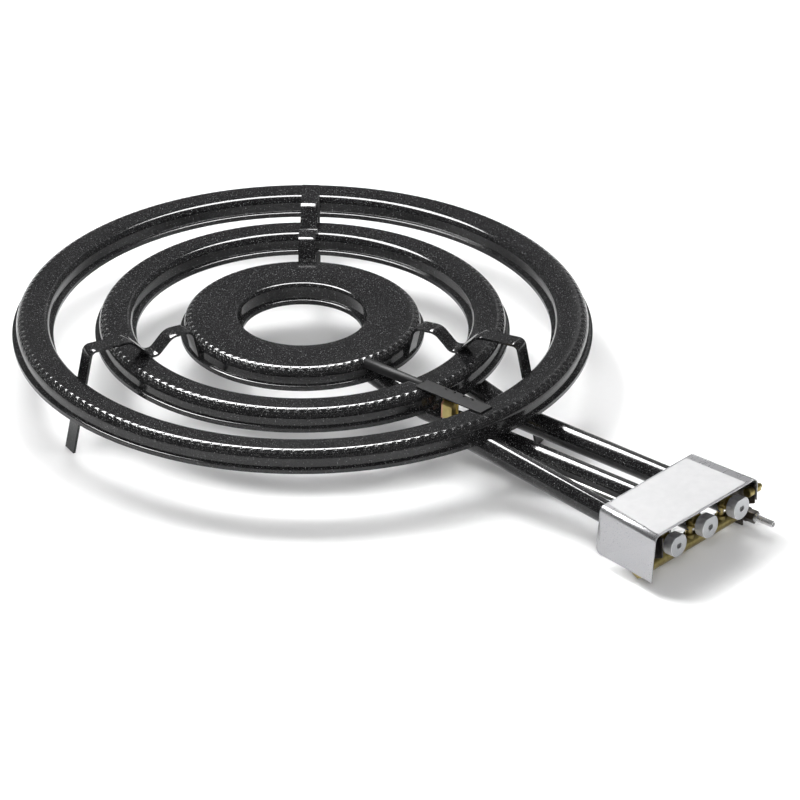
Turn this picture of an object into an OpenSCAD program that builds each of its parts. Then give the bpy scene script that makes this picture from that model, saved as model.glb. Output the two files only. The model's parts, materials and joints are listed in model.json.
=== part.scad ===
/* [Rings] */
// Rim diameter of the outer ring
outer_ring_d = 700; // [680:1:720]
// Gap between the outer and middle rings
outer_gap = 50; // [46:0.5:56]
// Gap between the middle and inner rings
inner_gap = 52.5; // [48:0.5:58]
// Width of the outer and middle rings from rim to rim
ring_w = 50; // [48:0.5:54]
// Width of the inner ring from rim to rim
inner_ring_w = 76; // [70:0.5:82]
// Height of a ring from the bottom of its rim to its flat top
ring_h = 26; // [25:0.5:29]
// Thickness of the pressed ring sheet
ring_t = 1.5; // [1.2:0.1:1.8]
// Width of the rim flange outside each side wall
flange_w = 5; // [4.5:0.1:6]
// Height of the folded rim
rim_h = 6.5; // [6:0.1:7.5]
// Step of the base's lip behind the edge of the upper flange
lip_step = 0.7; // [0.4:0.1:1]
// Radius of the outer shoulder, which carries the flame ports
shoulder_r = 11; // [9:0.25:12]
// Radius of the inner shoulder of the outer and middle rings
inner_shoulder_r = 9; // [8:0.25:10]
// Radius of the inner ring's shoulder at its hole
hole_shoulder_r = 5; // [4:0.25:6]
// Depth of the base pan below the rim
pan_depth = 5; // [4:0.25:7]
// Run of the base pan's sloping sides
pan_side = 6; // [5:0.25:8]

/* [Pan supports] */
// Height of the rims above the floor
rim_z = 78; // [76:0.5:88]
// Height of the pan rests above the rims
rest_rise = 53.5; // [51:0.5:58]
// Width of the support bar
support_w = 21; // [18:0.5:22]
// Thickness of the support bar
support_t = 3; // [2.5:0.1:3.5]
// Outward lean of a leg from upright
leg_lean = 11.3; // [9:0.1:13]
// Slope of the bar on both sides of the valley
drop_slope = 45.5; // [44:0.5:48]
// Angle from upright at which the valley rests on the middle ring's shoulder
valley_lean = 25; // [22:0.5:28]
// Height of the flat crest above the rims
crest_rise = 45.5; // [43:0.5:48]
// Lean of the tab from upright
tab_lean = 13; // [11:0.5:15]
// Bend radius along the middle of the bar between leg and pan rest
support_bend_r = 7.5; // [6:0.25:8.5]
// Bend radius at the inner end of the pan rest and the outer end of the crest
long_bend_r = 17; // [14:0.5:18]
// Bend radius of the valley and of the tab
valley_bend_r = 11; // [9:0.5:12]
// Bearing of the rear support
rear_bearing = 39.2; // [37:0.2:41]
// Bearing of the left support
left_bearing = 159.2; // [157:0.2:161]
// Bearing of the right support
right_bearing = 285.8; // [285.8:0.2:289]

/* [Mixing tubes] */
// Outside diameter of a mixing tube
tube_d = 28; // [26:0.25:28.5]
// Wall thickness of a mixing tube
tube_t = 1.5; // [1.2:0.1:2]
// Distance between neighbouring tubes
tube_pitch = 58; // [56:0.25:58.5]
// Depth of the tube axes below the rims at the control end
tube_drop = 34; // [32:0.25:36]
// Free length of tube between the outer rim and the cover
handle_l = 189; // [180:1:220]
// Depth of the outer tube's axis below the rim where it enters
outer_entry_drop = 10; // [9.5:0.25:12]
// Depth of the middle tube's axis at its closed end
middle_end_drop = 15; // [13:0.25:16]
// Depth of the inner tube's axis at its closed end
inner_end_drop = 9; // [8:0.25:12]
// Rise of the middle and inner tubes
riser_slope = 13.7; // [12.5:0.1:15]
// Bend radius of a tube along its axis
tube_bend_r = 70; // [60:1:90]

/* [Crossover and pilot] */
// Offset of the crossover channel from the centre tube
channel_x = -38; // [-40:0.5:-36]
// Width of the crossover channel
channel_w = 15; // [13:0.5:17]
// Height of the channel's crown above the ring tops
channel_crown = 3; // [2.5:0.25:4]
// Depth of the channel's edges below the ring tops
channel_edge = 6; // [5:0.25:7]
// Offset of the middle of the crossover plate
plate_x = -40.5; // [-42:0.5:-39]
// Width of the crossover plate
plate_w = 21; // [19:0.5:24]
// Thickness of the crossover plate
plate_t = 2; // [1.5:0.1:2.5]
// Diameter of the plate's four drilled holes
plate_hole_d = 3; // [2:0.25:4]
// Offset of the pilot burner and its pipe
pilot_x = -38; // [-38.5:0.25:-36.5]
// Width of the pilot burner
pilot_w = 10; // [9:0.25:11]
// Length of the pilot burner along the handle
pilot_l = 14; // [12:0.25:16]
// Outside diameter of the pilot pipe
pilot_pipe_d = 6; // [5:0.25:6.5]
// Diameter of the thermocouple
thermo_d = 5.5; // [4.5:0.25:6]
// Diameter of the thermocouple lead
lead_d = 2.5; // [2:0.25:3]

/* [Control end] */
// Length of the cover along the tubes
cover_l = 95; // [93:0.5:104]
// Distance of the cover's right side from the centre tube
cover_right = 87.5; // [87:0.25:92]
// Distance of the cover's left side from the centre tube at the back
cover_left = 87.5; // [87.5:0.25:92]
// Sheet thickness of the cover
cover_t = 1.2; // [1:0.1:1.6]
// Bend radius along the middle of the cover's sheet
cover_bend_r = 7; // [4:0.25:8]
// Depth of the cover's top below the rims
cover_drop = 5; // [4:0.25:7]
// Height of the cover's left side
left_h = 57.5; // [54:0.5:62]
// Height of the cover's right side
right_h = 30; // [28:0.5:36]
// Outward splay of the left side
left_splay = 7; // [5:0.1:8]
// Flare of the left side toward the front
left_flare = 8; // [6:0.1:9]
// Sheet thickness of the chassis
chassis_t = 2; // [1.5:0.1:2.5]
// Outside diameter of the manifold
manifold_d = 17; // [16:0.25:18]
// Wall thickness of the manifold
manifold_t = 2; // [1.5:0.1:2.5]
// Depth of the manifold's axis below the tube axes
manifold_drop = 31; // [30:0.25:33]
// Diameter of the hose end of the inlet nipple
hose_d = 8; // [7.5:0.1:10]
// Length of the hose end
hose_l = 22; // [18:0.5:26]

/* [Taps] */
// Diameter of a tap body
tap_d = 18; // [17:0.25:19]
// Diameter of a spindle
spindle_d = 8; // [7:0.1:8.5]
// Diameter of a knob
knob_d = 28.5; // [26:0.5:31]
// Length of a knob
knob_l = 13; // [11:0.5:15]
// Depth of the milled flat on a knob
knob_flat = 1.8; // [1:0.1:3]
// Travel of a knob when it is pushed
push_travel = 3; // [2.5:0.1:3.2]
// Running clearance of spindles on the radius
run_gap = 0.05; // [0.03:0.01:0.08]

/* [Hidden] */
$fn = 96;

ENAMEL = [0.1, 0.1, 0.11];
STEEL = [0.78, 0.78, 0.79];
DARK_STEEL = [0.3, 0.29, 0.27];
BRASS = [0.66, 0.58, 0.32];
COPPER = [0.72, 0.45, 0.32];
ALUMINIUM = [0.75, 0.76, 0.77];

weld_gap = 0.3;
fit_gap = 0.1;
cut = 1;
bend_swell = 0.05;
bend_lap = 0.4;
$lead = 0;

outer_r = outer_ring_d / 2;
middle_r = outer_r - ring_w - outer_gap;
inner_r = middle_r - ring_w - inner_gap;
seam_z = rim_h - ring_t;
flange_chamfer = ring_t / 3;

crown_r = channel_w / 2;
channel_t = 1.5;
crown_z = ring_h + channel_crown - crown_r;
channel_lap = 12;
plate_lap = 1;
channel_s0 = inner_r - channel_lap;
channel_s1 = middle_r - ring_w / 2 - plate_lap;
plate_l = outer_r - ring_w / 2 - channel_s1;
plate_hole_edge = 3;
plate_hole_x = plate_x + plate_w / 2 - plate_hole_edge;
plate_holes = 4;
plate_hole_pitch = (plate_l - ring_w / 2) / (plate_holes + 1.5);

pilot_reach = 16;
pilot_s = middle_r + pilot_reach;
pilot_top = 16;
pilot_hood = 4;
pilot_port_d = 4;
bracket_t = 1.5;
bracket_drop = 5;
bracket_edge = 1.5;
bracket_x = pilot_x + pilot_w / 2;
thermo_gap = 2;
thermo_s = pilot_s - pilot_l / 2 - thermo_d / 2 - thermo_gap;
thermo_x = bracket_x - thermo_d / 2;
thermo_l = 21;
thermo_top = 12;
bracket_s0 = thermo_s - thermo_d / 2 - bracket_edge;
bracket_l = pilot_s + pilot_l / 2 + bracket_edge - bracket_s0;
line_nut_l = 8;
line_nut_d = 11;
line_bend_r = 8;
line_gap = 4;
line_t = 1;
pilot_pipe_z = -bracket_drop - line_nut_l - line_gap / 2 - line_bend_r;
lead_z = pilot_pipe_z - pilot_pipe_d / 2 - lead_d / 2 - line_gap;

cover_s0 = outer_r + handle_l;
cover_s1 = cover_s0 + cover_l;
cover_under = -cover_drop - cover_t;
left_corner_r = 8;

manifold_inset = 32;
manifold_s = cover_s1 - manifold_inset;
manifold_z = -tube_drop - manifold_drop;
gas_bore = 5;
boss_d = 13;
boss_rise = 2;
boss_l = manifold_d / 2 + boss_rise;
boss_top = manifold_z + boss_l;
boss_back = manifold_s - boss_l;
plug_l = 8;
plug_d = 20;

chassis_inset = 24;
chassis_edge = 2;
chassis_s = cover_s0 + chassis_inset;
chassis_bottom = -tube_drop - tube_d / 2 - chassis_edge;
chassis_bend_r = 4;
cheek_edge = 2;
cheek_x = cover_right - cover_t;
cheek_top = cover_under - cover_bend_r - cheek_edge / 3;
cheek_low = manifold_z - manifold_d / 2 - cheek_edge;
cheek_front = cover_s1 - cheek_edge;
cheek_lobe = manifold_d / 2 + 2 * cheek_edge;
cheek_step = -cover_drop - right_h - 2 * cheek_edge;
cheek_slant = 8;
seat_half = 70;
seat_l = 16;

mouth_reach = 6;
mouth_s = manifold_s + mouth_reach;
tap_back = 16;
tap_front = 12;
stub_d = 9;
stub_z = boss_top + tube_drop;
slot_gap = 2;
slot_w = stub_d + 2 * slot_gap;
chamber_d = 13;
spring_wire = 0.6;
spring_turns = 2;
spring_steps = 16;
spring_sides = 6;
spring_solid = (spring_turns + 1) * spring_wire;
tail_end = -3;
tail_gap = 1;
collar_l = 3;
shoulder_l = 0.7;
shoulder_gap = 0.15;
collar_z = tap_front - collar_l - shoulder_l - 2 * shoulder_gap;
chamber_floor = collar_z - push_travel - spring_solid;
spring_r = (chamber_d + spindle_d) / 4;
spring_rise = push_travel + spring_solid - spring_wire - 2 * fit_gap;
shoulder_step = 1;
bonnet_l = 4;
bonnet_d = 19;
knob_stop = 0.5;
knob_gap = push_travel + knob_stop;
knob_z = tap_front + bonnet_l + knob_gap;
knob_chamfer = 0.6;
spindle_recess = 1;
spindle_flat = 1.2;
flat_l = knob_l - spindle_recess;
bore_r = spindle_d / 2 + run_gap;
jet_hex_l = 5;
jet_hex_d = 11;
jet_l = 8;
jet_d = 6;
jet_bore = 1.5;

bolt_inset = 7;
bolt_drop = 19;
bolt_s = cover_s1 - bolt_inset;
bolt_z = -cover_drop - bolt_drop;
bolt_d = 6;
bolt_head_d = 12;
bolt_head_l = 8;
bolt_tail = 4;
nut_d = 11.5;
nut_l = 10;
screw_s = cover_s0 + cover_l / 2;
screw_gap = 3;
screw_d = 4;
screw_z = cover_under - cover_bend_r - screw_d / 2 - screw_gap;
screw_head_d = 8;
screw_head_l = 2.4;
screw_head_taper = 1;
screw_l = 8;

elbow_d = 18;
elbow_x = cheek_x + elbow_d / 2;
elbow_back = 10;
elbow_front = 12;
nipple_hex_d = 16;
nipple_hex_l = 13;
nipple_neck_d = 12;
nipple_neck_l = 4;
nipple_s = manifold_s + elbow_front;
reach = nipple_s + nipple_hex_l + nipple_neck_l + hose_l;
ring_y = (reach - outer_r) / 2;

outer_x = -tube_pitch;
inner_x = 0;
middle_x = tube_pitch;
outer_plunge = 10;
middle_plunge = 5;
inner_plunge = 17;
outer_bend_lead = 10;
outer_bend_s = chassis_s - outer_bend_lead;
outer_slope = atan((tube_drop - outer_entry_drop) / (outer_bend_s - outer_r));
outer_end_s = sqrt(pow(outer_r - ring_w / 2, 2) - pow(outer_x, 2)) - outer_plunge;
middle_end_s = sqrt(pow(middle_r - ring_w / 2, 2) - pow(middle_x, 2)) - middle_plunge;
middle_bend_s = middle_end_s + (tube_drop - middle_end_drop) / tan(riser_slope);
inner_end_s = inner_r - inner_ring_w / 2 - inner_plunge;
inner_bend_s = inner_end_s + (tube_drop - inner_end_drop) / tan(riser_slope);

// Unit vector from one point to another
function toward(a, b) = (b - a) / norm(b - a);

// Length that a bend takes from each straight beside a fold point
function bend_trim(a, v, b, r) = r / tan(acos(toward(v, a) * toward(v, b)) / 2);

// Angle of a plane vector
function heading(d) = atan2(d[1], d[0]);

// Moves to the rings' centre, with heights measured from the rims
module on_rings() translate([0, ring_y, rim_z]) children();

// Places a part at a distance along the handle, pointing away from the rings
module on_handle(x, s, z) on_rings() translate([x, -s, z]) rotate([90, 0, 0]) children();

// Places a part at a distance along the handle, pointing toward the rings
module to_rings(x, s, z) on_rings() translate([x, -s, z]) rotate([-90, 0, 0]) children();

// Bent flat bar seen edge on, from fold points and bend radii
module bent_strip(points, radii, t) {
    last = len(points) - 1;
    trims = [for (i = [0 : last]) i == 0 || i == last ? 0 :
        bend_trim(points[i - 1], points[i], points[i + 1], radii[i])];
    for (i = [0 : last - 1]) {
        d = toward(points[i], points[i + 1]);
        before = i == 0 ? 0 : bend_lap;
        after = i == last - 1 ? 0 : bend_lap;
        l = norm(points[i + 1] - points[i]) - trims[i] - trims[i + 1];
        translate(points[i] + d * (trims[i] - before)) rotate(heading(d)) translate([0, -t / 2])
            square([l + before + after, t]);
    }
    for (i = [1 : last - 1]) {
        to_a = toward(points[i], points[i - 1]);
        to_b = toward(points[i], points[i + 1]);
        inward = toward([0, 0], to_a + to_b);
        centre = points[i] + inward * radii[i] / sin(acos(to_a * to_b) / 2);
        far = 2 * (radii[i] + t) / radii[i];
        start = (points[i] + to_a * trims[i] - centre) * far;
        stop = (points[i] + to_b * trims[i] - centre) * far;
        tip = -inward * norm(start) * 2;
        translate(centre) intersection() {
            difference() {
                circle(radii[i] + t / 2 + bend_swell);
                circle(radii[i] - t / 2 - bend_swell);
            }
            polygon(cross(start, stop) > 0 ? [[0, 0], start, tip, stop] : [[0, 0], stop, tip, start]);
        }
    }
}

// Straight length of pipe, lapped into the bends beside it; what follows is placed at its end
module pipe_run(d, t, l) {
    tail = $children > 0 ? bend_lap : 0;
    translate([0, 0, -$lead]) difference() {
        cylinder(d = d, h = l + $lead + tail);
        if (t > 0) translate([0, 0, -cut]) cylinder(d = d - 2 * t, h = l + $lead + tail + 2 * cut);
    }
    translate([0, 0, l]) let ($lead = 0) children();
}

// Pipe bend toward the local -Y side; what follows is placed at its end
module pipe_bend(d, t, r, a) {
    translate([0, -r, 0]) rotate([90, 0, 90]) rotate_extrude(angle = a) translate([r, 0]) difference() {
        circle(d = d + 2 * bend_swell);
        if (t > 0) circle(d = d - 2 * t - 2 * bend_swell);
    }
    translate([0, r * (cos(a) - 1), r * sin(a)]) rotate([a, 0, 0]) let ($lead = bend_lap) children();
}

// Mixing tube outline, level at first and then rising to its closed end
module tube_shape(x, bend_s, end_s, slope, t) {
    trim = tube_bend_r * tan(slope / 2);
    to_rings(x, mouth_s, -tube_drop)
        pipe_run(tube_d, t, mouth_s - bend_s - trim)
        pipe_bend(tube_d, t, tube_bend_r, slope)
        pipe_run(tube_d, t, (bend_s - end_s) / cos(slope) - trim)
        cylinder(d = tube_d, h = tube_t);
}

module outer_tube_shape(t) tube_shape(outer_x, outer_bend_s, outer_end_s, outer_slope, t);
module middle_tube_shape(t) tube_shape(middle_x, middle_bend_s, middle_end_s, riser_slope, t);
module inner_tube_shape(t) tube_shape(inner_x, inner_bend_s, inner_end_s, riser_slope, t);

// Filled outline of a ring's domed channel
module dome(r_in, r_out, top, low, in_r, out_r) {
    difference() {
        translate([r_in, low]) square([r_out - r_in, top - low]);
        translate([r_out - out_r, top - out_r]) difference() {
            square(out_r + cut);
            circle(out_r);
        }
        translate([r_in + in_r, top - in_r]) mirror([1, 0]) difference() {
            square(in_r + cut);
            circle(in_r);
        }
    }
}

// Space that a ring's upper shell takes up
module ring_envelope(rim_r, w, in_r) {
    rotate_extrude($fn = 180)
        dome(rim_r - w + flange_w, rim_r - flange_w, ring_h, 0, in_r, shoulder_r);
}

// Flange of the upper shell from a wall to its broken edge
module flange(wall_r, edge_r) {
    c = flange_chamfer;
    in_r = edge_r - sign(edge_r - wall_r) * c;
    outline = [[wall_r, 0], [in_r, 0], [edge_r, c], [edge_r, ring_t - c], [in_r, ring_t], [wall_r, ring_t]];
    translate([0, seam_z]) polygon(edge_r > wall_r ? outline : [for (i = [5 : -1 : 0]) outline[i]]);
}

// Upper shell of a ring
module ring_top(rim_r, w, in_r) {
    r_in = rim_r - w + flange_w;
    r_out = rim_r - flange_w;
    rotate_extrude($fn = 180) {
        difference() {
            dome(r_in, r_out, ring_h, seam_z, in_r, shoulder_r);
            dome(r_in + ring_t, r_out - ring_t, ring_h - ring_t, seam_z - cut, in_r - ring_t,
                shoulder_r - ring_t);
        }
        flange(r_out - ring_t / 2, rim_r);
        flange(r_in + ring_t / 2, rim_r - w);
    }
}

// Outline of the base pan down to a depth
module pan_outline(r_in, r_out, top, low, side) {
    polygon([[r_in, top], [r_in + side, low], [r_out - side, low], [r_out, top]]);
}

// Base of a ring: a shallow pan with a flange and a turned-down lip at each rim
module ring_base(rim_r, w) {
    r_in = rim_r - w + flange_w;
    r_out = rim_r - flange_w;
    side_rate = pan_side / (seam_z + pan_depth);
    side_t = ring_t * sqrt(1 + side_rate * side_rate);
    inner_top = seam_z + cut;
    inner_low = ring_t - pan_depth;
    lift = side_rate * cut;
    rotate_extrude($fn = 180) {
        difference() {
            pan_outline(r_in, r_out, seam_z, -pan_depth, pan_side);
            pan_outline(r_in + side_t - lift, r_out - side_t + lift, inner_top, inner_low,
                side_rate * (inner_top - inner_low));
        }
        for (lip = [[r_out - ring_t, rim_r - lip_step], [rim_r - w + lip_step, r_in + ring_t]])
            translate([lip[0], seam_z - ring_t]) square([lip[1] - lip[0], ring_t]);
        for (r = [rim_r - lip_step - ring_t, rim_r - w + lip_step])
            translate([r, 0]) square([ring_t, seam_z]);
    }
}

// Inside of a base pan, where a tube's wall is cut away
module pan_inside(rim_r, w) {
    rotate_extrude($fn = 180) translate([rim_r - w + flange_w, ring_t - pan_depth])
        square([w - 2 * flange_w, ring_h]);
}

// Pan support: leg, pan rest, valley on the middle ring, crest and tab on the inner ring's rim
module support(bearing) {
    outer_in = sqrt(pow(outer_r - ring_w + lip_step, 2) - pow(support_w / 2, 2));
    leg_r = outer_in - weld_gap - support_t / 2 / cos(leg_lean);
    rest_z = rest_rise - support_t / 2;
    arc_r = middle_r - ring_w + flange_w + inner_shoulder_r;
    arc_z = ring_h - inner_shoulder_r;
    stand_off = inner_shoulder_r + weld_gap + support_t / 2 + valley_bend_r;
    valley_r = arc_r - stand_off * sin(valley_lean);
    valley_z = arc_z + stand_off * cos(valley_lean) - valley_bend_r / cos(drop_slope);
    tab_r = inner_r - flange_w + weld_gap + support_t / 2;
    tab_z = rim_h + weld_gap + support_t / 2 * sin(tab_lean);
    tab = [tab_r, tab_z];
    crest_end = [tab_r + (crest_rise - tab_z) * tan(tab_lean), crest_rise];
    crest = [valley_r - (crest_rise - valley_z) / tan(drop_slope), crest_rise];
    valley = [valley_r, valley_z];
    shelf = [valley_r + (rest_z - valley_z) / tan(drop_slope), rest_z];
    top = [leg_r - rest_z * tan(leg_lean), rest_z];
    foot = [leg_r + (rim_z + support_t) * tan(leg_lean), -rim_z - support_t];
    bends = [0, valley_bend_r, long_bend_r, valley_bend_r, long_bend_r, support_bend_r, 0];
    on_rings() rotate(bearing) translate([0, support_w / 2, 0]) rotate([90, 0, 0]) linear_extrude(support_w)
        intersection() {
            bent_strip([tab, crest_end, crest, valley, shelf, top, foot], bends, support_t);
            translate([0, -rim_z]) square([outer_r, rim_z + rest_rise + cut]);
        }
}

// Places a part on a tap's axis, pointing at the user, with +Y up
module on_tap(x) on_handle(x, manifold_s, -tube_drop) children();

// Tap body with its inlet stub, gas ways, spring chamber and spindle bore
module tap_body(x) {
    color(BRASS) on_tap(x) difference() {
        union() {
            translate([0, 0, -tap_back]) cylinder(d = tap_d, h = tap_back + tap_front);
            rotate([90, 0, 0]) cylinder(d = stub_d, h = -stub_z);
        }
        translate([0, 0, chamber_floor]) cylinder(d = chamber_d, h = tap_front - chamber_floor + cut);
        translate([0, 0, tail_end - push_travel - tail_gap]) cylinder(r = bore_r, h = tap_front - tail_end);
        translate([0, 0, -tap_back - cut]) cylinder(d = gas_bore, h = tap_back);
        rotate([90, 0, 0]) cylinder(d = gas_bore, h = -stub_z + cut);
    }
}

// Jet that points into the mouth of a mixing tube
module jet(x) {
    color(BRASS) on_tap(x) translate([0, 0, -tap_back]) mirror([0, 0, 1]) difference() {
        union() {
            cylinder(d = jet_hex_d, h = jet_hex_l, $fn = 6);
            translate([0, 0, jet_hex_l]) cylinder(d = jet_d, h = jet_l - jet_hex_l);
        }
        translate([0, 0, -cut]) cylinder(d = jet_bore, h = jet_l + 2 * cut);
    }
}

// Bonnet nut that closes a tap's spring chamber
module bonnet(x) {
    color(BRASS) on_tap(x) translate([0, 0, tap_front]) difference() {
        cylinder(d = bonnet_d, h = bonnet_l, $fn = 6);
        translate([0, 0, -cut]) cylinder(r = bore_r, h = bonnet_l + 2 * cut);
    }
}

// Thrust collar that the return spring presses outward
module collar(x) {
    color(BRASS) on_tap(x) translate([0, 0, collar_z]) difference() {
        cylinder(d = chamber_d - 2 * fit_gap, h = collar_l);
        translate([0, 0, -cut]) cylinder(r = bore_r, h = collar_l + 2 * cut);
    }
}

// Point on the wire of a return spring: i counts along the coil and k round the wire
function coil_point(i, k) =
    let (a = 360 * i / spring_steps)
    let (b = 360 * k / spring_sides)
    let (r = spring_r + spring_wire / 2 * cos(b))
    [r * cos(a), r * sin(a), spring_rise * i / spring_steps / spring_turns + spring_wire / 2 * sin(b)];

// Return spring between the floor of a tap's chamber and its thrust collar
module spring(x) {
    last = spring_steps * spring_turns;
    n = spring_sides;
    wire = [for (i = [0 : last], k = [0 : n - 1]) coil_point(i, k)];
    sides = [for (i = [0 : last - 1], k = [0 : n - 1]) let (a = i * n + k, b = i * n + (k + 1) % n)
        each [[a, b + n, a + n], [a, b, b + n]]];
    ends = [for (k = [1 : n - 2]) each [[0, k + 1, k], [last * n, last * n + k, last * n + k + 1]]];
    color(STEEL) on_tap(x) translate([0, 0, chamber_floor + spring_wire / 2 + fit_gap])
        polyhedron(wire, concat(sides, ends));
}

// Cross-section of a spindle's keyed end, grown by a gap
module key_section(gap) {
    r = spindle_d / 2 + gap;
    difference() {
        circle(r);
        translate([-r, spindle_d / 2 - spindle_flat + gap]) square([2 * r, r]);
    }
}

// Spindle with a shoulder behind the bonnet and a flat for the knob
module spindle(x) {
    shoulder_z = collar_z + collar_l + shoulder_gap;
    color(STEEL) on_tap(x) {
        translate([0, 0, tail_end]) cylinder(d = spindle_d, h = knob_z - tail_end);
        translate([0, 0, shoulder_z]) cylinder(d = chamber_d - 2 * shoulder_step, h = shoulder_l);
        translate([0, 0, knob_z]) linear_extrude(flat_l) key_section(0);
    }
}

// Turned knob with a milled flat on top and a through hole keyed to its spindle
module knob(x) {
    color(ALUMINIUM) on_tap(x) translate([0, 0, knob_z]) difference() {
        union() {
            cylinder(d1 = knob_d - 2 * knob_chamfer, d2 = knob_d, h = knob_chamfer);
            translate([0, 0, knob_chamfer]) cylinder(d = knob_d, h = knob_l - 2 * knob_chamfer);
            translate([0, 0, knob_l - knob_chamfer])
                cylinder(d1 = knob_d, d2 = knob_d - 2 * knob_chamfer, h = knob_chamfer);
        }
        translate([-knob_d / 2, knob_d / 2 - knob_flat, -cut]) cube([knob_d, knob_d, knob_l + 2 * cut]);
        translate([0, 0, -cut]) linear_extrude(knob_l + 2 * cut) key_section(run_gap);
    }
}

module outer_ring_top() color(ENAMEL) on_rings() ring_top(outer_r, ring_w, inner_shoulder_r);

module outer_ring_base() color(ENAMEL) difference() {
    on_rings() ring_base(outer_r, ring_w);
    outer_tube_shape(0);
}

module middle_ring_top() color(ENAMEL) on_rings() ring_top(middle_r, ring_w, inner_shoulder_r);

module middle_ring_base() color(ENAMEL) difference() {
    on_rings() ring_base(middle_r, ring_w);
    middle_tube_shape(0);
}

module inner_ring_top() color(ENAMEL) on_rings() ring_top(inner_r, inner_ring_w, hole_shoulder_r);

module inner_ring_base() color(ENAMEL) difference() {
    on_rings() ring_base(inner_r, inner_ring_w);
    inner_tube_shape(0);
}

// Slot in the underside of a tube's mouth for its tap's inlet stub
module stub_slot(x) {
    on_handle(x, manifold_s, -tube_drop) translate([-slot_w / 2, -tube_d, -slot_w / 2])
        cube([slot_w, tube_d, tube_d]);
}

module outer_tube() color(ENAMEL) difference() {
    outer_tube_shape(tube_t);
    on_rings() pan_inside(outer_r, ring_w);
    stub_slot(outer_x);
}

module middle_tube() color(ENAMEL) difference() {
    middle_tube_shape(tube_t);
    on_rings() pan_inside(middle_r, ring_w);
    stub_slot(middle_x);
}

module inner_tube() color(ENAMEL) difference() {
    inner_tube_shape(tube_t);
    on_rings() pan_inside(inner_r, inner_ring_w);
    stub_slot(inner_x);
}

module rear_support() color(ENAMEL) support(rear_bearing);
module left_support() color(ENAMEL) support(left_bearing);
module right_support() color(ENAMEL) support(right_bearing);

// Half-round channel that carries the flame between the inner and middle rings
module crossover_channel() color(ENAMEL) difference() {
    on_handle(channel_x, channel_s0, 0) linear_extrude(channel_s1 - channel_s0) {
        translate([0, crown_z]) intersection() {
            difference() {
                circle(crown_r);
                circle(crown_r - channel_t);
            }
            translate([-crown_r - cut, 0]) square([channel_w + 2 * cut, crown_r + cut]);
        }
        for (x = [-crown_r, crown_r - channel_t])
            translate([x, ring_h - channel_edge]) square([channel_t, crown_z - ring_h + channel_edge]);
    }
    on_rings() ring_envelope(inner_r, inner_ring_w, hole_shoulder_r);
    on_rings() ring_envelope(middle_r, ring_w, inner_shoulder_r);
}

module crossover_plate() color(ENAMEL) on_rings() difference() {
    translate([plate_x - plate_w / 2, -channel_s1 - plate_l, ring_h]) cube([plate_w, plate_l, plate_t]);
    for (i = [1 : plate_holes])
        translate([plate_hole_x, -channel_s1 - ring_w / 2 - (i - 0.5) * plate_hole_pitch, ring_h - cut])
            cylinder(d = plate_hole_d, h = plate_t + 2 * cut);
}

// Folded bracket that hangs the pilot burner under the crossover plate
module pilot_bracket() color(BRASS) on_handle(bracket_x, bracket_s0, 0) linear_extrude(bracket_l) {
    translate([0, -bracket_drop]) square([bracket_t, ring_h + bracket_drop]);
    translate([-pilot_w, ring_h - bracket_t]) square([pilot_w + bracket_t, bracket_t]);
}

// Pilot burner: a block with a chamfered hood and a drilled port
module pilot_burner() color(BRASS) difference() {
    on_handle(pilot_x, pilot_s - pilot_l / 2, 0) linear_extrude(pilot_l)
        polygon([[-pilot_w / 2, -bracket_drop], [pilot_w / 2, -bracket_drop], [pilot_w / 2, pilot_top],
            [pilot_hood - pilot_w / 2, pilot_top], [-pilot_w / 2, pilot_top - pilot_hood]]);
    on_rings() translate([pilot_x + pilot_hood / 2, -pilot_s, pilot_top - pilot_hood])
        cylinder(d = pilot_port_d, h = pilot_hood + cut);
}

module pilot_nut() color(DARK_STEEL) on_rings() translate([pilot_x, -pilot_s, -bracket_drop - line_nut_l])
    difference() {
        cylinder(d = line_nut_d, h = line_nut_l, $fn = 6);
        translate([0, 0, -cut]) cylinder(d = pilot_pipe_d, h = line_nut_l);
    }

module thermocouple() color(COPPER) on_rings() translate([thermo_x, -thermo_s, thermo_top - thermo_l]) {
    cylinder(d = thermo_d, h = thermo_l - thermo_d / 2);
    translate([0, 0, thermo_l - thermo_d / 2]) cylinder(d1 = thermo_d, d2 = thermo_d / 2, h = thermo_d / 2);
}

// Pilot pipe: down from its nut, along between the tubes and down to the manifold
module pilot_pipe() {
    start_z = -bracket_drop - cut;
    drop = start_z - pilot_pipe_z - line_bend_r;
    run = manifold_s - pilot_s - 2 * line_bend_r;
    end_drop = pilot_pipe_z - line_bend_r - boss_top;
    color(STEEL) on_rings() translate([pilot_x, -pilot_s, start_z]) rotate([180, 0, 0])
        pipe_run(pilot_pipe_d, line_t, drop)
        rotate([0, 0, 180]) pipe_bend(pilot_pipe_d, line_t, line_bend_r, 90)
        pipe_run(pilot_pipe_d, line_t, run)
        rotate([0, 0, 180]) pipe_bend(pilot_pipe_d, line_t, line_bend_r, 90)
        pipe_run(pilot_pipe_d, line_t, end_drop);
}

// Thermocouple lead: out along the tubes, down behind the manifold and into it
module thermocouple_lead() {
    start_z = thermo_top - thermo_l;
    drop = start_z - lead_z - line_bend_r;
    turn_s = boss_back - line_nut_l - 2 * line_bend_r;
    run = turn_s - thermo_s - line_bend_r;
    down = lead_z - manifold_z - 2 * line_bend_r;
    color(STEEL) on_rings() translate([thermo_x, -thermo_s, start_z]) rotate([180, 0, 0])
        pipe_run(lead_d, 0, drop)
        rotate([0, 0, 180]) pipe_bend(lead_d, 0, line_bend_r, 90)
        pipe_run(lead_d, 0, run)
        rotate([0, 0, 180]) pipe_bend(lead_d, 0, line_bend_r, 90)
        pipe_run(lead_d, 0, down)
        rotate([0, 0, 180]) pipe_bend(lead_d, 0, line_bend_r, 90)
        pipe_run(lead_d, 0, boss_back - turn_s - 2 * line_bend_r);
}

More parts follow.
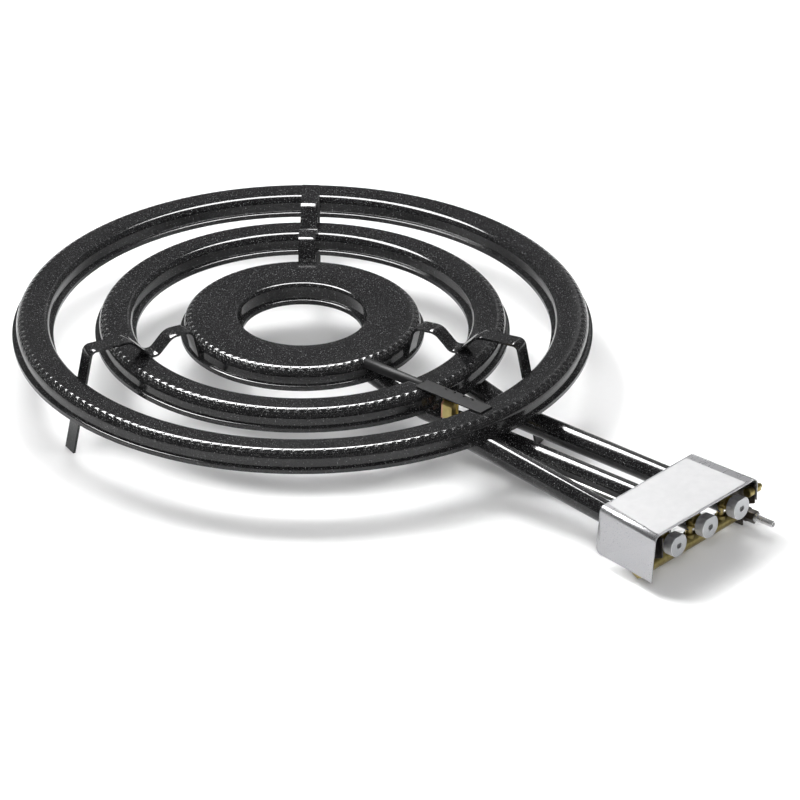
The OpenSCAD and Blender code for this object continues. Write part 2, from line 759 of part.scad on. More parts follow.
// Nuts that hold the pilot pipe and the thermocouple lead on the manifold
module line_nuts() color(BRASS) {
    on_rings() translate([pilot_x, -manifold_s, boss_top]) difference() {
        cylinder(d = line_nut_d, h = line_nut_l, $fn = 6);
        translate([0, 0, -cut]) cylinder(d = pilot_pipe_d, h = line_nut_l + 2 * cut);
    }
    to_rings(thermo_x, boss_back, manifold_z) difference() {
        cylinder(d = line_nut_d, h = line_nut_l, $fn = 6);
        translate([0, 0, -cut]) cylinder(d = lead_d, h = line_nut_l + 2 * cut);
    }
}

// Folded chassis that holds the tubes and the manifold and carries the cover
module chassis() color(DARK_STEEL) difference() {
    union() {
        intersection() {
            on_rings() translate([0, 0, cheek_low]) linear_extrude(cheek_top - cheek_low)
                bent_strip([[chassis_t / 2 - cheek_x, -cheek_front],
                    [chassis_t / 2 - cheek_x, -chassis_s - chassis_t / 2],
                    [cheek_x - chassis_t / 2, -chassis_s - chassis_t / 2],
                    [cheek_x - chassis_t / 2, -cheek_front]],
                    [0, chassis_bend_r, chassis_bend_r, 0], chassis_t);
            on_rings() translate([cheek_x + cut, 0, 0]) rotate([90, 0, -90])
                linear_extrude(2 * cheek_x + 2 * cut)
                polygon([[chassis_s - cut, cheek_top + cut], [chassis_s - cut, chassis_bottom],
                    [manifold_s - cheek_lobe, chassis_bottom], [manifold_s - cheek_lobe, cheek_low - cut],
                    [manifold_s + cheek_lobe, cheek_low - cut],
                    [manifold_s + cheek_lobe, cheek_step - cheek_slant],
                    [cheek_front + cut, cheek_step], [cheek_front + cut, cheek_top + cut]]);
        }
        on_rings() translate([-seat_half, -chassis_s - chassis_t, cheek_top - cut])
            cube([2 * seat_half, chassis_t, cover_under - cheek_top + cut]);
        on_rings() translate([-seat_half, -chassis_s - seat_l, cover_under - chassis_t])
            cube([2 * seat_half, seat_l, chassis_t]);
    }
    for (x = [outer_x, inner_x, middle_x])
        on_handle(x, chassis_s - cut, -tube_drop) cylinder(d = tube_d + 2 * fit_gap, h = chassis_t + 2 * cut);
    on_handle(pilot_x, chassis_s - cut, pilot_pipe_z)
        cylinder(d = pilot_pipe_d + 2 * fit_gap, h = chassis_t + 2 * cut);
    on_handle(thermo_x, chassis_s - cut, lead_z) cylinder(d = lead_d + 2 * fit_gap, h = chassis_t + 2 * cut);
    across(-cheek_x - cut, manifold_s, manifold_z)
        cylinder(d = manifold_d + 2 * fit_gap, h = 2 * cheek_x + 2 * cut);
    across(0, bolt_s, bolt_z) cylinder(d = bolt_d + 2 * fit_gap, h = cheek_x + cut);
    across(0, screw_s, screw_z) cylinder(d = screw_d + 2 * fit_gap, h = cheek_x + cut);
}

// Places a part so that it points along +X at a point of the control end
module across(x, s, z) on_rings() translate([x, -s, z]) rotate([0, 90, 0]) children();

// Side outline that trims the cover's left side, with its rear bottom corner rounded
module left_trim() {
    low = -cover_drop - left_h;
    r = left_corner_r;
    polygon(concat([[cover_s0, 0], [cover_s1, 0], [cover_s1, low]],
        [for (a = [270 : -15 : 180]) [cover_s0 + r + r * cos(a), low + r + r * sin(a)]]));
}

// Folded stainless cover: flared left side, flat top and short right side
module cover() color(STEEL) difference() {
    edge = cover_bend_r + cover_t;
    lap = 2 * edge;
    front_left = -cover_left - cover_l * tan(left_flare);
    mid = -cover_t / 2;
    union() {
        intersection() {
            on_rings() translate([-cover_left, -cover_s0, -cover_drop]) rotate(-left_flare)
                translate([0, lap, 0]) rotate([90, 0, 0]) linear_extrude(cover_l + 3 * lap)
                bent_strip([[lap, mid], [-mid, mid], [-mid - left_h * tan(left_splay), mid - left_h]],
                    [0, cover_bend_r, 0], cover_t);
            on_rings() rotate([90, 0, -90]) linear_extrude(2 * cover_left) left_trim();
        }
        on_rings() translate([0, 0, -cover_drop - cover_t]) linear_extrude(cover_t)
            polygon([[edge - cover_left, -cover_s0], [cover_right - edge, -cover_s0],
                [cover_right - edge, -cover_s1], [front_left + edge, -cover_s1]]);
        on_handle(cover_right, cover_s0, -cover_drop) linear_extrude(cover_l)
            bent_strip([[-lap, mid], [mid, mid], [mid, -right_h]], [0, cover_bend_r, 0], cover_t);
    }
    across(0, bolt_s, bolt_z) cylinder(d = bolt_d + 2 * fit_gap, h = cover_right + cut);
    across(0, screw_s, screw_z) cylinder(d = screw_d + 2 * fit_gap, h = cover_right + cut);
}

// Bolt through the chassis and the cover's right side, with its head inside
module cover_bolt() color(BRASS) across(cheek_x - chassis_t, bolt_s, bolt_z) {
    cylinder(d = bolt_d, h = chassis_t + cover_t + nut_l + bolt_tail);
    mirror([0, 0, 1]) cylinder(d = bolt_head_d, h = bolt_head_l - cut);
    translate([0, 0, -bolt_head_l]) cylinder(d1 = bolt_head_d - 2 * cut, d2 = bolt_head_d, h = cut);
}

module cover_nut() color(BRASS) across(cover_right, bolt_s, bolt_z) difference() {
    cylinder(d = nut_d, h = nut_l, $fn = 6);
    translate([0, 0, -cut]) cylinder(d = bolt_d, h = nut_l + 2 * cut);
}

module cover_screw() color(STEEL) across(cover_right, screw_s, screw_z) {
    mirror([0, 0, 1]) cylinder(d = screw_d, h = screw_l);
    cylinder(d1 = screw_head_d, d2 = screw_head_d - 2 * screw_head_taper, h = screw_head_l);
}

// Gas manifold with a drilled boss under each tap and one for each thin line
module manifold() color(BRASS) difference() {
    union() {
        across(-cheek_x, manifold_s, manifold_z) cylinder(d = manifold_d, h = 2 * cheek_x);
        for (x = [outer_x, inner_x, middle_x, pilot_x])
            on_rings() translate([x, -manifold_s, manifold_z]) cylinder(d = boss_d, h = boss_l);
        to_rings(thermo_x, manifold_s, manifold_z) cylinder(d = boss_d, h = boss_l);
    }
    across(-cheek_x - cut, manifold_s, manifold_z)
        cylinder(d = manifold_d - 2 * manifold_t, h = 2 * cheek_x + 2 * cut);
    for (x = [outer_x, inner_x, middle_x, pilot_x])
        on_rings() translate([x, -manifold_s, manifold_z]) cylinder(d = gas_bore, h = boss_l + cut);
}

module manifold_plug() color(BRASS) across(-cheek_x - plug_l, manifold_s, manifold_z)
    cylinder(d = plug_d, h = plug_l, $fn = 6);

// Elbow that turns the manifold's right end toward the user
module inlet_elbow() color(DARK_STEEL) difference() {
    union() {
        on_handle(elbow_x, manifold_s - elbow_back, manifold_z)
            cylinder(d = elbow_d, h = elbow_back + elbow_front);
        across(cheek_x, manifold_s, manifold_z) cylinder(d = manifold_d, h = elbow_x - cheek_x);
    }
    on_handle(elbow_x, manifold_s, manifold_z) cylinder(d = gas_bore, h = elbow_front + cut);
    across(cheek_x - cut, manifold_s, manifold_z) cylinder(d = gas_bore, h = elbow_x - cheek_x + cut);
}

// Hose nipple: hexagon, neck and plain hose end
module inlet_nipple() color(STEEL) on_handle(elbow_x, nipple_s, manifold_z) difference() {
    union() {
        cylinder(d = nipple_hex_d, h = nipple_hex_l, $fn = 6);
        translate([0, 0, nipple_hex_l]) cylinder(d = nipple_neck_d, h = nipple_neck_l);
        translate([0, 0, nipple_hex_l + nipple_neck_l]) cylinder(d = hose_d, h = hose_l - cut);
        translate([0, 0, nipple_hex_l + nipple_neck_l + hose_l - cut])
            cylinder(d1 = hose_d, d2 = hose_d - cut, h = cut);
    }
    translate([0, 0, -cut]) cylinder(d = gas_bore, h = reach);
}

module outer_tap_body() tap_body(outer_x);
module middle_tap_body() tap_body(middle_x);
module inner_tap_body() tap_body(inner_x);
module outer_jet() jet(outer_x);
module middle_jet() jet(middle_x);
module inner_jet() jet(inner_x);
module outer_bonnet() bonnet(outer_x);
module middle_bonnet() bonnet(middle_x);
module inner_bonnet() bonnet(inner_x);
module outer_collar() collar(outer_x);
module middle_collar() collar(middle_x);
module inner_collar() collar(inner_x);
module outer_spring() spring(outer_x);
module middle_spring() spring(middle_x);
module inner_spring() spring(inner_x);
module outer_spindle() spindle(outer_x);
module middle_spindle() spindle(middle_x);
module inner_spindle() spindle(inner_x);
module outer_knob() knob(outer_x);
module middle_knob() knob(middle_x);
module inner_knob() knob(inner_x);

outer_ring_top();
outer_ring_base();
middle_ring_top();
middle_ring_base();
inner_ring_top();
inner_ring_base();
outer_tube();
middle_tube();
inner_tube();
rear_support();
left_support();
right_support();
crossover_channel();
crossover_plate();
pilot_bracket();
pilot_burner();
pilot_nut();
thermocouple();
pilot_pipe();
thermocouple_lead();
line_nuts();
chassis();
cover();
cover_bolt();
cover_nut();
cover_screw();
manifold();
manifold_plug();
inlet_elbow();
inlet_nipple();
outer_tap_body();
middle_tap_body();
inner_tap_body();
outer_jet();
middle_jet();
inner_jet();
outer_bonnet();
middle_bonnet();
inner_bonnet();
outer_collar();
middle_collar();
inner_collar();
outer_spring();
middle_spring();
inner_spring();
outer_spindle();
middle_spindle();
inner_spindle();
outer_knob();
middle_knob();
inner_knob();
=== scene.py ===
import json
import math

import bmesh
import bpy
from mathutils import Matrix, Vector, geometry


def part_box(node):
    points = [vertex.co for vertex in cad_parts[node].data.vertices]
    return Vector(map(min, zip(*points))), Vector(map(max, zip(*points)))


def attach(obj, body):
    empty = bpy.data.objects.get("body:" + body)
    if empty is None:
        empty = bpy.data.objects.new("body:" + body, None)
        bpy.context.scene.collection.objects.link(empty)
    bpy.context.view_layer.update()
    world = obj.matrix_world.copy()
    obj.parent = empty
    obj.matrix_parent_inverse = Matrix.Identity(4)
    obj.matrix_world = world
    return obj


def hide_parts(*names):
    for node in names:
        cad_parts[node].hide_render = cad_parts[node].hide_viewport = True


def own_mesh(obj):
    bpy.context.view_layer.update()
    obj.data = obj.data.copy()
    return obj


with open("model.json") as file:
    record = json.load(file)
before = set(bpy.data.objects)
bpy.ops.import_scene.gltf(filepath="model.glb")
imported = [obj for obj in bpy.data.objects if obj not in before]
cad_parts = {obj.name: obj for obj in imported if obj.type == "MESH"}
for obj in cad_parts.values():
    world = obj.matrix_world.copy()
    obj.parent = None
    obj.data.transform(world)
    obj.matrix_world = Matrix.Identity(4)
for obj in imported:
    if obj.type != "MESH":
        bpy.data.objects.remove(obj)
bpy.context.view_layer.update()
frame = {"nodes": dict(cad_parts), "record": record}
nodes = frame["nodes"]

MM = 0.001
MERGE = 2e-6
TINY = 1e-9
ring_low, ring_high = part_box("outer_ring_top")
RING_X = (ring_low.x + ring_high.x) / 2
RING_Y = (ring_low.y + ring_high.y) / 2
RING_H = 26 * MM
RIM_Z = ring_high.z - RING_H


# Camera

VIEW_TURN = math.radians(49.2)
VIEW_RISE = math.radians(28.8)
FOCAL_PX = 9013
VIEW_DISTANCE = 10.870
VIEW_ACROSS = 0.1176
VIEW_LIFT = -0.0813
IMAGE_PX = 800
SENSOR_MM = 36
CLIP_END = 100

view_right = Vector((math.cos(VIEW_TURN), -math.sin(VIEW_TURN), 0))
view_away = Vector((math.sin(VIEW_TURN), math.cos(VIEW_TURN), 0))
view_back = Vector((0, 0, math.sin(VIEW_RISE))) - view_away * math.cos(VIEW_RISE)
view_up = view_back.cross(view_right)
ring_centre = Vector((RING_X, RING_Y, RIM_Z))


def add_camera():
    data = bpy.data.cameras.new("camera")
    data.sensor_width = SENSOR_MM
    data.lens = FOCAL_PX * SENSOR_MM / IMAGE_PX
    data.clip_end = CLIP_END
    cam = bpy.data.objects.new("camera", data)
    bpy.context.scene.collection.objects.link(cam)
    place = ring_centre + view_right * VIEW_ACROSS + view_up * VIEW_LIFT + view_back * VIEW_DISTANCE
    turn = Matrix((view_right, view_up, view_back)).transposed().to_4x4()
    cam.matrix_world = Matrix.Translation(place) @ turn
    bpy.context.scene.camera = cam


add_camera()


# Shader helpers

MIX_SOCKETS = (0, 6, 7)
MIX_RESULT = 2


class Shader:
    """A material whose nodes are added and linked by name."""

    def __init__(self, name, **settings):
        self.material = bpy.data.materials.new(name)
        self.material.use_nodes = True
        self.tree = self.material.node_tree
        self.surface = self.tree.nodes["Principled BSDF"]
        for key, value in settings.items():
            self.surface.inputs[key.replace("_", " ")].default_value = value

    def node(self, kind, links=None, values=None, **settings):
        made = self.tree.nodes.new("ShaderNode" + kind)
        for key, value in settings.items():
            setattr(made, key, value)
        for key, value in (values or {}).items():
            made.inputs[key].default_value = value
        for key, source in (links or {}).items():
            self.tree.links.new(source, made.inputs[key])
        return made

    def join(self, source, socket):
        self.tree.links.new(source, self.surface.inputs[socket])

    def place(self, scale=(1, 1, 1), offset=(0, 0, 0)):
        coords = self.node("TexCoord").outputs["Object"]
        placed = self.node("Mapping", {"Vector": coords}, {"Scale": scale, "Location": offset})
        return placed.outputs["Vector"]

    def cloud(self, where, scale, detail):
        return self.node("TexNoise", {"Vector": where}, {"Scale": scale, "Detail": detail}).outputs["Fac"]

    def ramp(self, source, stops):
        made = self.node("ValToRGB", {"Fac": source})
        points = made.color_ramp.elements
        while len(points) < len(stops):
            points.new(0.5)
        for point, (where, colour) in zip(points, stops):
            point.position = where
            point.color = (*colour, 1) if isinstance(colour, tuple) else (colour, colour, colour, 1)
        return made.outputs["Color"]

    def maths(self, how, a, b):
        made = self.node("Math", operation=how)
        for socket, value in zip(made.inputs, (a, b)):
            if isinstance(value, (int, float)):
                socket.default_value = value
            else:
                self.tree.links.new(value, socket)
        return made.outputs["Value"]

    def blend_colour(self, factor, a, b):
        made = self.node("Mix", data_type="RGBA")
        for number, value in zip(MIX_SOCKETS, (factor, a, b)):
            if isinstance(value, tuple):
                made.inputs[number].default_value = (*value, 1)
            else:
                self.tree.links.new(value, made.inputs[number])
        return made.outputs[MIX_RESULT]

    def bump(self, height, strength, distance):
        made = self.node("Bump", {"Height": height}, {"Strength": strength, "Distance": distance})
        self.join(made.outputs["Normal"], "Normal")


# Materials

GRAIN_CORE = 0.6
STEEL_DARK = 0.9
STEEL_ROUGH_SPREAD = 0.15
TURNED_DARK = 0.88
TURNING_LINES = 9000.0


def speckle(shader, where, scale, reach, share):
    """Round grains: reach is their radius in cells, share the part of the cells that has one."""
    cells = shader.node("TexVoronoi", {"Vector": where}, {"Scale": scale})
    near = shader.ramp(cells.outputs["Distance"], [(reach * GRAIN_CORE, 1.0), (reach, 0.0)])
    pick = shader.node("SeparateColor", {"Color": cells.outputs["Color"]}).outputs["Red"]
    chosen = shader.maths("LESS_THAN", pick, share)
    return shader.maths("MULTIPLY", near, chosen)


def enamel_material(name, rough, gloss):
    """Black enamel with fine and coarse pale grains and a slight orange peel."""
    shader = Shader(name, Roughness=rough, IOR=1.5, Specular_IOR_Level=gloss)
    where = shader.place()
    fine = speckle(shader, where, scale=1000, reach=0.45, share=0.4)
    coarse = speckle(shader, where, scale=600, reach=0.32, share=0.12)
    cloud = shader.cloud(where, scale=30, detail=3)
    base = shader.ramp(cloud, [(0.35, (0.004, 0.004, 0.0043)), (0.7, (0.008, 0.008, 0.0084))])
    dusted = shader.blend_colour(fine, base, (0.06, 0.06, 0.061))
    colour = shader.blend_colour(coarse, dusted, (0.19, 0.19, 0.19))
    shader.join(colour, "Base Color")
    shader.bump(shader.cloud(where, scale=260, detail=1), strength=0.12, distance=0.0004)
    return shader.material


def satin_material():
    """Plain satin black, without grains."""
    shader = Shader("satin", Roughness=0.42, IOR=1.5, Specular_IOR_Level=0.12)
    cloud = shader.cloud(shader.place(), scale=140, detail=4)
    colour = shader.ramp(cloud, [(0.3, (0.008, 0.008, 0.0083)), (0.7, (0.014, 0.014, 0.0144))])
    shader.join(colour, "Base Color")
    shader.bump(cloud, strength=0.05, distance=0.0002)
    return shader.material


def steel_material(name, tint, rough, along):
    """Sheet steel with fine lines; along is how much the grain is drawn out on each axis."""
    shader = Shader(name, Metallic=1.0, IOR=2.5)
    lines = shader.node("TexNoise", {"Vector": shader.place(scale=along)},
                        {"Scale": 60, "Detail": 4, "Roughness": 0.6}).outputs["Fac"]
    low = tuple(c * STEEL_DARK for c in tint)
    smooth, coarse = rough * (1 - STEEL_ROUGH_SPREAD), rough * (1 + STEEL_ROUGH_SPREAD)
    shader.join(shader.ramp(lines, [(0.3, low), (0.7, tint)]), "Base Color")
    shader.join(shader.ramp(lines, [(0.3, smooth), (0.7, coarse)]), "Roughness")
    shader.bump(lines, strength=0.05, distance=0.0002)
    return shader.material


def plated_material(name, dark, light, rough):
    """Cast or machined fitting with a slightly cloudy finish."""
    shader = Shader(name, Metallic=1.0, Roughness=rough)
    cloud = shader.cloud(shader.place(), scale=120, detail=5)
    shader.join(shader.ramp(cloud, [(0.3, dark), (0.7, light)]), "Base Color")
    shader.bump(cloud, strength=0.06, distance=0.0003)
    return shader.material


def turned_material(name, centre, tint, rough):
    """Lathe-turned metal: fine rings round an axis that runs along Y through centre."""
    shader = Shader(name, Metallic=0.8, Roughness=rough)
    at = shader.place(offset=(-centre[0], 0, -centre[2]), scale=(1, 0, 1))
    radius = shader.node("VectorMath", {0: at}, operation="LENGTH").outputs["Value"]
    rings = shader.maths("SINE", shader.maths("MULTIPLY", radius, TURNING_LINES), 0.0)
    lines = shader.maths("MULTIPLY_ADD", rings, 0.5)
    low = tuple(c * TURNED_DARK for c in tint)
    shader.join(shader.ramp(lines, [(0.0, low), (1.0, tint)]), "Base Color")
    shader.bump(lines, strength=0.05, distance=0.0001)
    return shader.material


def film_material():
    """Blank satin film with a faint mottle."""
    shader = Shader("label_film", Roughness=0.42)
    cloud = shader.cloud(shader.place(), scale=90, detail=4)
    colour = shader.ramp(cloud, [(0.3, (0.42, 0.42, 0.426)), (0.7, (0.45, 0.45, 0.454))])
    shader.join(colour, "Base Color")
    shader.bump(cloud, strength=0.03, distance=0.0002)
    return shader.material


MATERIALS = {
    "enamel": enamel_material("enamel", rough=0.12, gloss=0.36),
    "bar_enamel": enamel_material("bar_enamel", rough=0.14, gloss=0.4),
    "satin": satin_material(),
    "port": plated_material("port", (0.12, 0.12, 0.12), (0.2, 0.2, 0.2), 0.4),
    "stainless": steel_material("stainless", tint=(0.37, 0.37, 0.38), rough=0.3, along=(1, 12, 12)),
    "label": film_material(),
    "spindle_steel": plated_material("spindle_steel", (0.07, 0.07, 0.07), (0.14, 0.14, 0.14), 0.35),
    "copper": plated_material("copper", (0.55, 0.27, 0.16), (0.75, 0.42, 0.28), 0.3),
    "line_steel": plated_material("line_steel", (0.2, 0.2, 0.19), (0.3, 0.3, 0.29), 0.35),
    "dark_steel": plated_material("dark_steel", (0.05, 0.045, 0.04), (0.12, 0.11, 0.1), 0.35),
    "bright_steel": plated_material("bright_steel", (0.62, 0.62, 0.62), (0.75, 0.75, 0.75), 0.25),
    # The knob's own aluminium made lighter and rougher: painted sheen for the light that falls on the
    # knob's sides.
    "knob_side_painted_sheen": plated_material("knob_side_painted_sheen", (0.74, 0.74, 0.75), (0.82, 0.82, 0.83), 0.6),
    "yellow_zinc": plated_material("yellow_zinc", (0.2, 0.16, 0.06), (0.36, 0.3, 0.12), 0.34),
    "brass": plated_material("brass", (0.42, 0.33, 0.12), (0.6, 0.5, 0.22), 0.3),
}


def dress(obj, material):
    """Gives a piece one material all over."""
    obj.data.materials.clear()
    obj.data.materials.append(material)


# Finish of the CAD pieces

# The knob's face keeps a darker tint and its sides get a lighter copy of the same aluminium: painted sheen
# and shade for how the light falls, not two metals.
KNOB_TINT = (0.45, 0.46, 0.47)
KNOB_ROUGH = 0.42
FACE_ON = 0.9
slots = {row["node"]: row["material_slot"] for row in frame["record"]["subparts"]}
for name, obj in nodes.items():
    if slots[name] == "knob_aluminium":
        low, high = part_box(name.replace("knob", "bonnet"))
        middle = (low + high) / 2
        dress(obj, turned_material(name, middle, KNOB_TINT, KNOB_ROUGH))
        # Sides take the lighter painted-sheen copy; faces looking along Y take the darker turned tint.
        obj.data.materials.append(MATERIALS["knob_side_painted_sheen"])
        for face in obj.data.polygons:
            face.material_index = 0 if abs(face.normal.y) > FACE_ON else 1
    elif name in ("crossover_channel", "crossover_plate"):
        dress(obj, MATERIALS["satin"])
    elif name.endswith("_support"):
        dress(obj, MATERIALS["bar_enamel"])
    else:
        dress(obj, MATERIALS[slots[name]])


# Edge widths in mm, by the ending of a piece's name
BEVELS = {"_support": 0.3, "crossover_plate": 0.4, "crossover_channel": 0.3, "cover": 0.25, "nut": 0.5,
          "plug": 0.6, "elbow": 0.7, "nipple": 0.3, "bracket": 0.3, "pilot_burner": 0.6, "bonnet": 0.5,
          "_tap_body": 0.4}
BEVEL_SEGMENTS = 2
BEVEL_ANGLE = math.radians(40)
NIPPLE_HEX_L = 13 * MM
NIPPLE_SLACK = 0.5 * MM


def soften(obj, width):
    """Rounds the sharp edges of a CAD piece a little, so that they catch the light."""
    weld = obj.modifiers.new("weld", "WELD")
    weld.merge_threshold = MERGE
    edge = obj.modifiers.new("edge", "BEVEL")
    edge.width = width * MM
    edge.segments = BEVEL_SEGMENTS
    edge.limit_method = "ANGLE"
    edge.angle_limit = BEVEL_ANGLE
    edge.harden_normals = True


for name, obj in nodes.items():
    for ending, width in BEVELS.items():
        if name.endswith(ending) or (name.endswith("nuts") and ending == "nut"):
            soften(obj, width)

nipple = nodes["inlet_nipple"]
nipple.data.materials.append(MATERIALS["dark_steel"])
hex_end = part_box("inlet_nipple")[1].y - NIPPLE_HEX_L
for face in nipple.data.polygons:
    if face.center.y > hex_end - NIPPLE_SLACK:
        face.material_index = 1


# Burner shells with their flame ports

FLANGE_W = 5 * MM
SHEET = 1.5 * MM
RIM_H = 6.5 * MM
SHOULDER = 11 * MM
RIM_EDGE = [(out * MM, down * MM) for out, down in
            ((2.4, 0.0), (1.7, 0.12), (0.9, 0.42), (0.35, 0.7), (0.0, 1.0), (0.0, 1.25), (0.3, 1.5))]
# Rows of a group as (lean in degrees, places across as shares of the pitch)
PORT_ROWS = ((72, (0.0,)), (55, (-0.18, 0.18)), (38, (-0.36, 0.36)))
PORT_R = 1.1 * MM
PORT_LIP = 0.45 * MM
# Loops of a lip as (share of its width, depth in mm)
PORT_LIP_RINGS = ((0.3, 0.12), (0.075, 0.45))
PORT_SIDES = 10
PITCH_LEAN = math.radians(49)
GROUP_SPANS = 2
CREASE = 0.6 * MM
BAND_LOW = math.radians(24)
BAND_HIGH = math.radians(83)
BAND_STEPS = 5
INSIDE_PORT = 0.9
SHELL_SHARP = math.radians(50)
PORT_ROUND = [(math.cos(2 * math.pi * i / PORT_SIDES), math.sin(2 * math.pi * i / PORT_SIDES))
              for i in range(PORT_SIDES)]


def arc(centre, radius, start, stop, steps):
    """Points on an arc, from start to stop in degrees."""
    turns = [math.radians(start + (stop - start) * i / steps) for i in range(steps + 1)]
    return [(centre[0] + radius * math.cos(a), centre[1] + radius * math.sin(a)) for a in turns]


def between(a, b):
    """Faces that join two closed loops of the same length."""
    count = len(a)
    return [(a[k], a[(k + 1) % count], b[(k + 1) % count], b[k]) for k in range(count)]


def shell_strips(rim, width, in_r):
    """Cross-section of a shell below and above its band of ports, as two open lines of (radius, height)."""
    seam = RIM_H - SHEET
    out_wall, in_wall = rim - FLANGE_W, rim - width + FLANGE_W
    out_c = (out_wall - SHOULDER, RING_H - SHOULDER)
    in_c = (in_wall + in_r, RING_H - in_r)
    low_deg, high_deg = math.degrees(BAND_LOW), math.degrees(BAND_HIGH)
    lower = arc(out_c, SHOULDER, low_deg, 0, 3)
    lower += [(out_wall, RIM_H + CREASE)]
    lower += arc((out_wall + CREASE, RIM_H + CREASE), CREASE, 180, 270, 3)[1:]
    lower += [(rim - out, RIM_H - down) for out, down in RIM_EDGE]
    lower += [(out_wall - SHEET, seam)]
    lower += arc(out_c, SHOULDER - SHEET, 0, low_deg, 3)
    upper = arc(out_c, SHOULDER, high_deg, 90, 2)
    upper += arc(in_c, in_r, 90, 180, 7)
    upper += [(in_wall, RIM_H + CREASE)]
    upper += arc((in_wall - CREASE, RIM_H + CREASE), CREASE, 0, -90, 3)[1:]
    edge = rim - width
    upper += [(edge + out, RIM_H - down) for out, down in RIM_EDGE]
    upper += [(in_wall + SHEET, seam)]
    upper += arc(in_c, in_r - SHEET, 180, 90, 5)
    upper += arc(out_c, SHOULDER - SHEET, 90, high_deg, 2)
    return lower, upper, out_c


def port_cell(pitch, lip):
    """One pitch of the band as flat points (across, along the arc), triangles and the ports' loops."""
    low, high = BAND_LOW * SHOULDER, BAND_HIGH * SHOULDER
    sides = [low + (high - low) * i / BAND_STEPS for i in range(BAND_STEPS + 1)]
    points = [(0.0, v) for v in sides] + [(pitch, v) for v in sides] + [(pitch / 2, low), (pitch / 2, high)]
    loops, centres = [], []
    radius = PORT_R + lip
    for row_deg, phases in PORT_ROWS:
        for phase in phases:
            middle = (pitch * (0.5 + phase), math.radians(row_deg) * SHOULDER)
            loops.append(list(range(len(points), len(points) + PORT_SIDES)))
            centres.append(middle)
            points += [(middle[0] + radius * x, middle[1] + radius * y) for x, y in PORT_ROUND]
    edges = [(loop[i], loop[(i + 1) % PORT_SIDES]) for loop in loops for i in range(PORT_SIDES)]
    cut = geometry.delaunay_2d_cdt([Vector(p) for p in points], edges, [], 0, TINY)
    flat, faces, origin = cut[0], cut[2], cut[3]
    back = {own[0]: i for i, own in enumerate(origin) if own}
    kept = []
    for face in faces:
        mid = sum((flat[i] for i in face), Vector((0, 0))) / len(face)
        if all((mid - Vector(c)).length > radius * INSIDE_PORT for c in centres):
            kept.append(list(face))
    return [tuple(p) for p in flat], kept, [[back[i] for i in loop] for loop in loops], centres


def build_shell(name, rim, width, in_r, count):
    """A ring's upper shell, with count groups of ports opened through its outer shoulder."""
    lower, upper, out_c = shell_strips(rim, width, in_r)
    pitch = 2 * math.pi * (out_c[0] + SHOULDER * math.cos(PITCH_LEAN)) / count
    step = 2 * math.pi / count
    verts, faces, bare = [], [], set()

    def spot(turn, radius, height):
        verts.append((RING_X + radius * math.cos(turn), RING_Y + radius * math.sin(turn), RIM_Z + height))
        return len(verts) - 1

    def band(turn, across, along, depth):
        lean = along / SHOULDER
        reach = SHOULDER - depth
        radius, height = out_c[0] + reach * math.cos(lean), out_c[1] + reach * math.sin(lean)
        return spot(turn + across / pitch * step, radius, height)

    outer = port_cell(pitch, PORT_LIP)
    inner = port_cell(pitch, 0.0)
    for line in (lower, upper):
        rows = [[spot(step * i / GROUP_SPANS, r, z) for r, z in line] for i in range(count * GROUP_SPANS)]
        for i, row in enumerate(rows):
            nxt = rows[(i + 1) % len(rows)]
            faces += [(row[k], row[k + 1], nxt[k + 1], nxt[k]) for k in range(len(line) - 1)]
    for cell in range(count):
        turn = step * cell
        top = [band(turn, u, v, 0.0) for u, v in outer[0]]
        under = [band(turn, u, v, SHEET) for u, v in inner[0]]
        faces += [tuple(top[i] for i in f) for f in outer[1]]
        faces += [tuple(under[i] for i in reversed(f)) for f in inner[1]]
        for loop_top, loop_under, middle in zip(outer[2], inner[2], outer[3]):
            rings = [[top[i] for i in loop_top]]
            for share, sink in PORT_LIP_RINGS:
                radius = PORT_R + PORT_LIP * share
                rings.append([band(turn, middle[0] + radius * x, middle[1] + radius * y, sink * MM)
                              for x, y in PORT_ROUND])
            rings.append([under[i] for i in loop_under])
            for a, b in zip(rings, rings[1:]):
                bare.update(range(len(faces), len(faces) + PORT_SIDES))
                faces += between(a, b)
    mesh = bpy.data.meshes.new(name)
    mesh.from_pydata(verts, [], faces)
    for index in bare:
        mesh.polygons[index].material_index = 1
    shell = bmesh.new()
    shell.from_mesh(mesh)
    bmesh.ops.remove_doubles(shell, verts=shell.verts, dist=MERGE)
    bmesh.ops.recalc_face_normals(shell, faces=shell.faces)
    shell.to_mesh(mesh)
    shell.free()
    mesh.shade_smooth()
    mesh.set_sharp_from_angle(angle=SHELL_SHARP)
    obj = bpy.data.objects.new(name, mesh)
    bpy.context.scene.collection.objects.link(obj)
    mesh.materials.append(MATERIALS["enamel"])
    mesh.materials.append(MATERIALS["port"])
    return obj


# Rings as (name, width, inner shoulder radius, groups of ports)
RINGS = (("outer", 50 * MM, 9 * MM, 173), ("middle", 50 * MM, 9 * MM, 122), ("inner", 76 * MM, 5 * MM, 76))
for ring, width, in_r, count in RINGS:
    low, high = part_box(ring + "_ring_top")
    shell = build_shell(ring + "_shell", (high.x - low.x) / 2, width, in_r, count)
    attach(shell, "burner")
    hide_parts(ring + "_ring_top")


# Weld beads

BEAD_SIDES = 8
BEAD_STEPS_MIN = 8
BEAD_R = 1.2 * MM
BEAD_RIPPLE = 2.4 * MM
BEAD_SWELL = 0.14
BEAD_TIP = 0.02
BEAD_TAPER = 6
RIPPLE_STEPS = 6
SMALL_SHARP = math.radians(45)
FOOT_SLACK = 0.01 * MM
WELD_SIDE = 10.7 * MM
# Beads beside a support as points (radius, height over RIM_Z) in mm
WELD_LINES = (((300.2, 0.3), (300.2, 5.8)), ((207.8, 23.8), (210.4, 25.4), (214.0, 26.3)),
              ((143.4, 12.5), (143.2, 7.3), (146.4, 7.1)))


